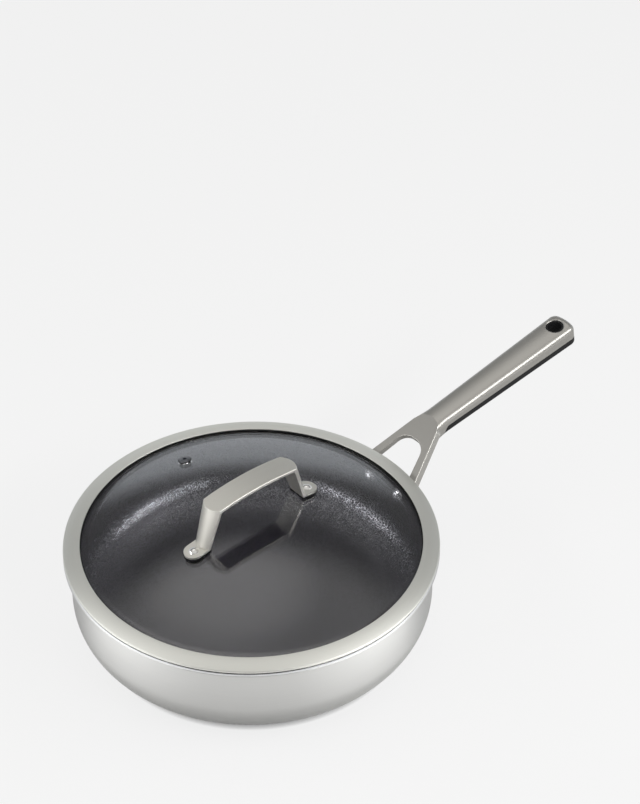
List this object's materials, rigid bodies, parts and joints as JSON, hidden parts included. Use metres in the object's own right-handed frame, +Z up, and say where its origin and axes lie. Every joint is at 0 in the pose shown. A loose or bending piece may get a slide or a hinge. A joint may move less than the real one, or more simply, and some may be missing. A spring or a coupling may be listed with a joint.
{
  "type": "saute pan with lid",
  "caption": "Straight-sided saute pan with bonded metal wall, non-stick inside, long metal handle with black underside, and a domed glass lid with a steel band and arched handle",
  "frame": {"origin": "centre of the pan's flat underside, on the table", "axes": "+X out along the pan handle, the longest extent; +Y to the left when looking out along the handle; +Z up, the shortest extent"},
  "size_m": [0.4634, 0.2752, 0.1332],
  "materials": {
    "satin_steel": "satin, fine circular brushing",
    "brushed_steel": "satin, fine lengthwise brushing",
    "polished_steel": "polished",
    "aluminium": "rolled, seen only at the lip",
    "nonstick_coating": "speckled charcoal non-stick, semi-gloss",
    "black_grip": "fine matt",
    "black_silicone": "smooth matt",
    "clear_glass": "clear tempered glass"
  },
  "bodies": {
    "pan": {"outer_shell": "satin_steel", "aluminium_core": "aluminium", "coated_liner": "nonstick_coating", "handle_rivets": "nonstick_coating", "handle_casting": "brushed_steel", "handle_grip_insert": "black_grip"},
    "lid": {"lid_rim_band": "satin_steel", "rim_seal": "black_silicone", "lid_glass": "clear_glass", "lid_handle": "brushed_steel", "foot_pads": "black_silicone", "inner_seal_washers": "black_silicone", "steel_washers": "polished_steel", "lid_handle_screws": "polished_steel", "cap_nuts": "polished_steel", "vent_gasket": "black_silicone", "vent_washer": "polished_steel", "vent_eyelet": "polished_steel"}
  },
  "joints": [
    {"name": "lid_lift", "type": "slide", "parent": "pan", "child": "lid", "axis": [0, 0, 1], "range_m": [0, 0.15]}
  ]
}
